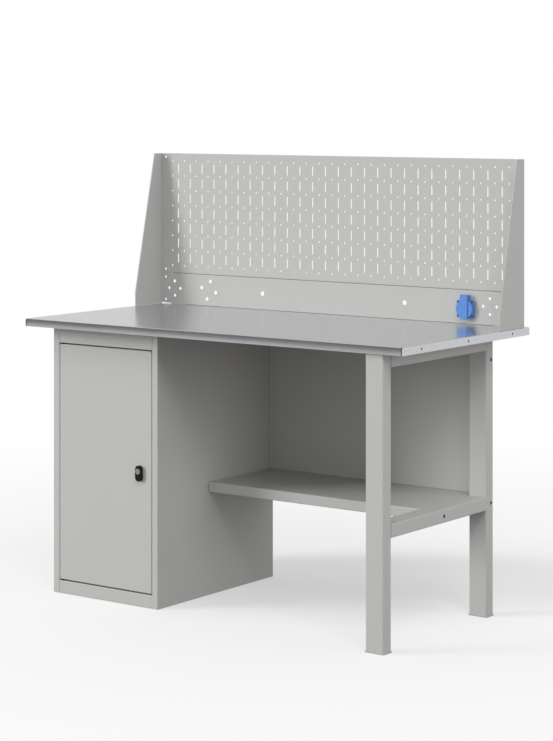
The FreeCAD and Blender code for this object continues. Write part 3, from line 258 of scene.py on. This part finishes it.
# Moulded plastic and rubber
moulding = {
    "cloud": {"scale": 60, "detail": 3},
    "smear": {"scale": 180, "detail": 3},
    "smearRough": 0.08,
    "grainDetail": 2,
    "grainStrength": 0.5,
    "plastics": {
        "black_plastic": {"name": "blackPlastic", "rough": 0.36, "shine": 0.16,
                          "grainScale": 1800, "grainDepth": 0.00008,
                          "ground": rgb(0.009, 0.009, 0.010), "clouds": rgb(0.014, 0.014, 0.016)},
        "foot_plastic": {"name": "footPlastic", "rough": 0.5, "shine": 0.5,
                         "grainScale": 1400, "grainDepth": 0.00008,
                         "ground": rgb(0.47, 0.47, 0.46), "clouds": rgb(0.43, 0.43, 0.42)},
        "blue_plastic": {"name": "bluePlastic", "rough": 0.30, "shine": 0.2,
                         "grainScale": 1200, "grainDepth": 0.00003,
                         "ground": rgb(0.135, 0.290, 0.690), "clouds": rgb(0.115, 0.260, 0.645)},
        "insert_plastic": {"name": "insertPlastic", "rough": 0.45, "shine": 0.5,
                           "grainScale": 1400, "grainDepth": 0.00005,
                           "ground": rgb(0.16, 0.16, 0.17), "clouds": rgb(0.12, 0.12, 0.13)},
        "rubber": {"name": "blackRubber", "rough": 0.7, "shine": 0.4,
                   "grainScale": 900, "grainDepth": 0.0001,
                   "ground": rgb(0.02, 0.02, 0.02), "clouds": rgb(0.035, 0.035, 0.034)},
    },
}


def mouldedPlastic(plastic):
    finish = newFinish(plastic["name"], {"Specular IOR Level": plastic["shine"]})
    colour = finish.blend(finish.noise(**moulding["cloud"]), plastic["ground"], plastic["clouds"])
    rough = finish.noise(**moulding["smear"]) * moulding["smearRough"] + plastic["rough"]
    grain = finish.noise(plastic["grainScale"], moulding["grainDetail"])
    normal = finish.bump(grain, plastic["grainDepth"], moulding["grainStrength"])
    return setSockets(finish, colour=colour, rough=rough, normal=normal)


# Core of the worktop, seen only in the slits at its folded corners
board = {
    "light": rgb(0.16, 0.12, 0.08),
    "dark": rgb(0.09, 0.065, 0.04),
    "chip": {"scale": 420, "stretch": (1, 1, 2.2)},
    "fibre": {"scale": 900, "detail": 3},
    "fibreShare": 0.3,
    "bump": {"distance": 0.0003, "strength": 0.6},
    "rough": 0.8,
}


def particleBoard():
    finish = newFinish("particleBoard", {"Roughness": board["rough"]})
    chip = finish.cells(**board["chip"])
    fibre = finish.noise(**board["fibre"])
    mottle = chip * (1 - board["fibreShare"]) + fibre * board["fibreShare"]
    colour = finish.blend(mottle, board["light"], board["dark"])
    return setSockets(finish, colour=colour, normal=finish.bump(chip + fibre, **board["bump"]))


finishes = {
    "worktop_steel": galvanisedSteel(),
    "screen_paint": powderCoat("screenPaint"),
    "body_paint": powderCoat("bodyPaint"),
    "frame_paint": powderCoat("framePaint"),
    "board": particleBoard(),
}
for slotName, metal in plating["metals"].items():
    finishes[slotName] = platedMetal(metal)
for slotName, plastic in moulding["plastics"].items():
    finishes[slotName] = mouldedPlastic(plastic)
for subpart in frame["record"]["subparts"]:
    for slot in nodes[subpart["node"]].material_slots:
        slot.material = finishes[subpart["material_slot"]]
print("finishes:", len(finishes))


def newObject(name, data):
    made = bpy.data.objects.new(name, data)
    scene.collection.objects.link(made)
    return made


def newPiece(name, mesh, material):
    data = bpy.data.meshes.new(name)
    mesh.to_mesh(data)
    mesh.free()
    data.materials.append(material)
    return newObject(name, data)


# Torsion spring on the lid's pin
springSizes = {"wire": 0.00045, "turns": 6, "stepsPerTurn": 28, "wireSides": 10}


def coilSpring():
    low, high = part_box("lid_spring")
    middle = (low + high) / 2
    wire = springSizes["wire"]
    radius = (high.z - low.z) / 2 - wire
    travel = high.x - low.x - 2 * wire
    mesh = bmesh.new()
    turnUp = Matrix.Rotation(math.radians(90), 4, "X")
    start = Matrix.Translation((low.x + wire, middle.y, middle.z + radius)) @ turnUp
    sides = springSizes["wireSides"]
    bmesh.ops.create_circle(mesh, cap_ends=True, radius=wire, segments=sides, matrix=start)
    steps = springSizes["turns"] * springSizes["stepsPerTurn"]
    wireEnd = mesh.verts[:] + mesh.edges[:] + mesh.faces[:]
    bmesh.ops.spin(mesh, geom=wireEnd, cent=middle, axis=(1, 0, 0), dvec=(travel / steps, 0, 0),
                   angle=2 * math.pi * springSizes["turns"], steps=steps)
    bmesh.ops.recalc_face_normals(mesh, faces=mesh.faces[:])
    for face in mesh.faces:
        face.smooth = True
    spring = newPiece("lidSpringCoil", mesh, finishes["zinc"])
    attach(spring, "bench")
    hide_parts("lid_spring")


coilSpring()
print("spring wound")


# Camera rays, and mirror rays that no matt surface has scattered
def seenRays(finish):
    cameraRay = finish.node("ShaderNodeLightPath", out="Is Camera Ray")
    glossyRay = finish.node("ShaderNodeLightPath", out="Is Glossy Ray")
    scattered = finish.node("ShaderNodeLightPath", out="Diffuse Depth")
    direct = scattered.math("LESS_THAN", scattered, 1)
    return cameraRay, glossyRay * direct


# White surroundings, dimmer where the shiny worktop mirrors them
skySizes = {
    "softLight": 0.56,
    "mirrorFront": 0.16,
    "mirrorBack": 0.72,
    "backEdges": (-0.4, 0.2),
    "mirrorTop": 0.25,
    "topEdges": (0.6, 0.85),
    "bouncedLight": 0.95,  # reaches matt surfaces by way of the worktop, in place of the mirrored lamps
}


def whiteWorld():
    scene.world = bpy.data.worlds.new("studioWorld")
    sky = Finish(scene.world, "Generated")
    cameraRay, mirrorRay = seenRays(sky)
    bouncedRay = sky.node("ShaderNodeLightPath", out="Is Glossy Ray") - mirrorRay
    behind = sky.ramp(sky.axis("Y"), *skySizes["backEdges"])
    overhead = sky.ramp(sky.axis("Z"), *skySizes["topEdges"])
    front = skySizes["mirrorFront"]
    mirrored = behind * (skySizes["mirrorBack"] - front) + front + overhead * skySizes["mirrorTop"]
    soft = (1 - cameraRay - mirrorRay) * skySizes["softLight"]
    bounced = bouncedRay * (skySizes["bouncedLight"] - skySizes["softLight"])
    backdrop = sky.tree.nodes["Background"]
    sky.feed(backdrop.inputs["Color"], grey(1))
    sky.feed(backdrop.inputs["Strength"], cameraRay + mirrorRay * mirrored + soft + bounced)


# Pale floor that turns white with distance, slowly around the bench and least in an oval under it, where a
# painted shadow darkens the floor under the bench
floorSizes = {
    "radius": 40.0,
    "sides": 96,
    "rough": 0.9,
    "bounceShade": 0.33,
    "seenShade": 0.9,
    "mirrorShade": 0.55,
    "ovalSpot": (0.134, 0.409, 0.0),
    "ovalTurn": 36.3,
    "ovalReach": (0.9, 0.5, 1.0),
    "ovalEdges": (0.65, 1.25),
    "paintedShadowLift": 0.37,
    "nearLift": 0.59,
    "fadeEdges": (0.7, 3.8),
    "backEdges": (-2.0, 1.5),
}


def floorFinish():
    finish = newFinish("studioFloor", {"Roughness": floorSizes["rough"]})
    cameraRay, mirrorRay = seenRays(finish)
    unseen = finish.blend(mirrorRay, grey(floorSizes["bounceShade"]), grey(floorSizes["mirrorShade"]))
    setSockets(finish, colour=finish.blend(cameraRay, unseen, grey(floorSizes["seenShade"])))
    # painted shadow: inside the oval under the bench the floor gets the least white glow, so it shows darker
    # there
    oval = {"Vector": finish.place, "Location": floorSizes["ovalSpot"], "Scale": floorSizes["ovalReach"],
            "Rotation": (0, 0, math.radians(floorSizes["ovalTurn"]))}
    fromOval = finish.node("ShaderNodeMapping", {"vector_type": "TEXTURE"}, oval)
    around = finish.ramp(finish.length(fromOval), *floorSizes["ovalEdges"])
    fade = finish.ramp(finish.length(finish.place), *floorSizes["fadeEdges"])
    near = around * (floorSizes["nearLift"] - floorSizes["paintedShadowLift"]) + floorSizes["paintedShadowLift"]
    lift = fade * (1 - floorSizes["nearLift"]) + near
    behind = finish.ramp(finish.axis("Y"), *floorSizes["backEdges"])
    shine = cameraRay + mirrorRay * skySizes["mirrorBack"]
    glow = finish.node("ShaderNodeEmission", None, {"Color": grey(1), "Strength": shine})
    surface = Field(finish, finish.shader().outputs["BSDF"])
    share = cameraRay * lift + mirrorRay * behind * fade
    mixed = finish.node("ShaderNodeMixShader", None, {0: share, 1: surface, 2: glow})
    finish.feed(finish.tree.nodes["Material Output"].inputs["Surface"], mixed)
    return finish.owner


def floorPlane():
    mesh = bmesh.new()
    bmesh.ops.create_circle(mesh, cap_ends=True, radius=floorSizes["radius"], segments=floorSizes["sides"])
    newPiece("studioFloor", mesh, floorFinish())


# Soft lamps: a large one from the left, a weak one from the right and one high up
lampSizes = {
    "spread": 80,
    "lamps": {
        "key": {"place": (-10.0, -9.7, 4.5), "aim": (0.0, 0.0, 0.7), "wide": 5.0, "tall": 6.8, "power": 282},
        "side": {"place": (11.0, 1.0, 2.6), "aim": (0.0, 0.0, 0.6), "wide": 5.2, "tall": 5.2, "power": 41},
        "high": {"place": (5.0, -4.5, 7.5), "aim": (0.0, 0.0, 0.6), "wide": 4.0, "tall": 4.0, "power": 52},
    },
}


def areaLamp(name, sizes):
    lamp = bpy.data.lights.new(name + "Light", "AREA")
    lamp.energy = sizes["power"]
    lamp.shape = "RECTANGLE"
    lamp.size = sizes["wide"]
    lamp.size_y = sizes["tall"]
    lamp.spread = math.radians(lampSizes["spread"])
    holder = newObject(name + "Light", lamp)
    holder.location = sizes["place"]
    holder.visible_glossy = False  # a mirrored lamp would turn the worktop white
    away = Vector(sizes["place"]) - Vector(sizes["aim"])
    holder.rotation_euler = away.to_track_quat("Z", "Y").to_euler()


# Level camera; the film's long side is the picture's height
viewSizes = {
    "place": (3.9966, -5.4203, 1.525),
    "turn": 36.30,
    "focalPixels": 2198.9,
    "horizonRow": 104.1,
    "imageHeight": 741,
    "filmHeight": 36.0,
    "reach": 100,
}


def photoCamera():
    lens = bpy.data.cameras.new("photoCamera")
    lens.sensor_width = viewSizes["filmHeight"]
    lens.lens = viewSizes["filmHeight"] * viewSizes["focalPixels"] / viewSizes["imageHeight"]
    lens.shift_y = viewSizes["horizonRow"] / viewSizes["imageHeight"] - 0.5
    lens.clip_end = viewSizes["reach"]
    holder = newObject("photoCamera", lens)
    holder.location = viewSizes["place"]
    holder.rotation_euler = (math.radians(90), 0, math.radians(viewSizes["turn"]))
    scene.camera = holder


floorPlane()
whiteWorld()
for lampName, sizes in lampSizes["lamps"].items():
    areaLamp(lampName, sizes)
photoCamera()
scene.view_settings.view_transform = "Standard"
print("stage set")
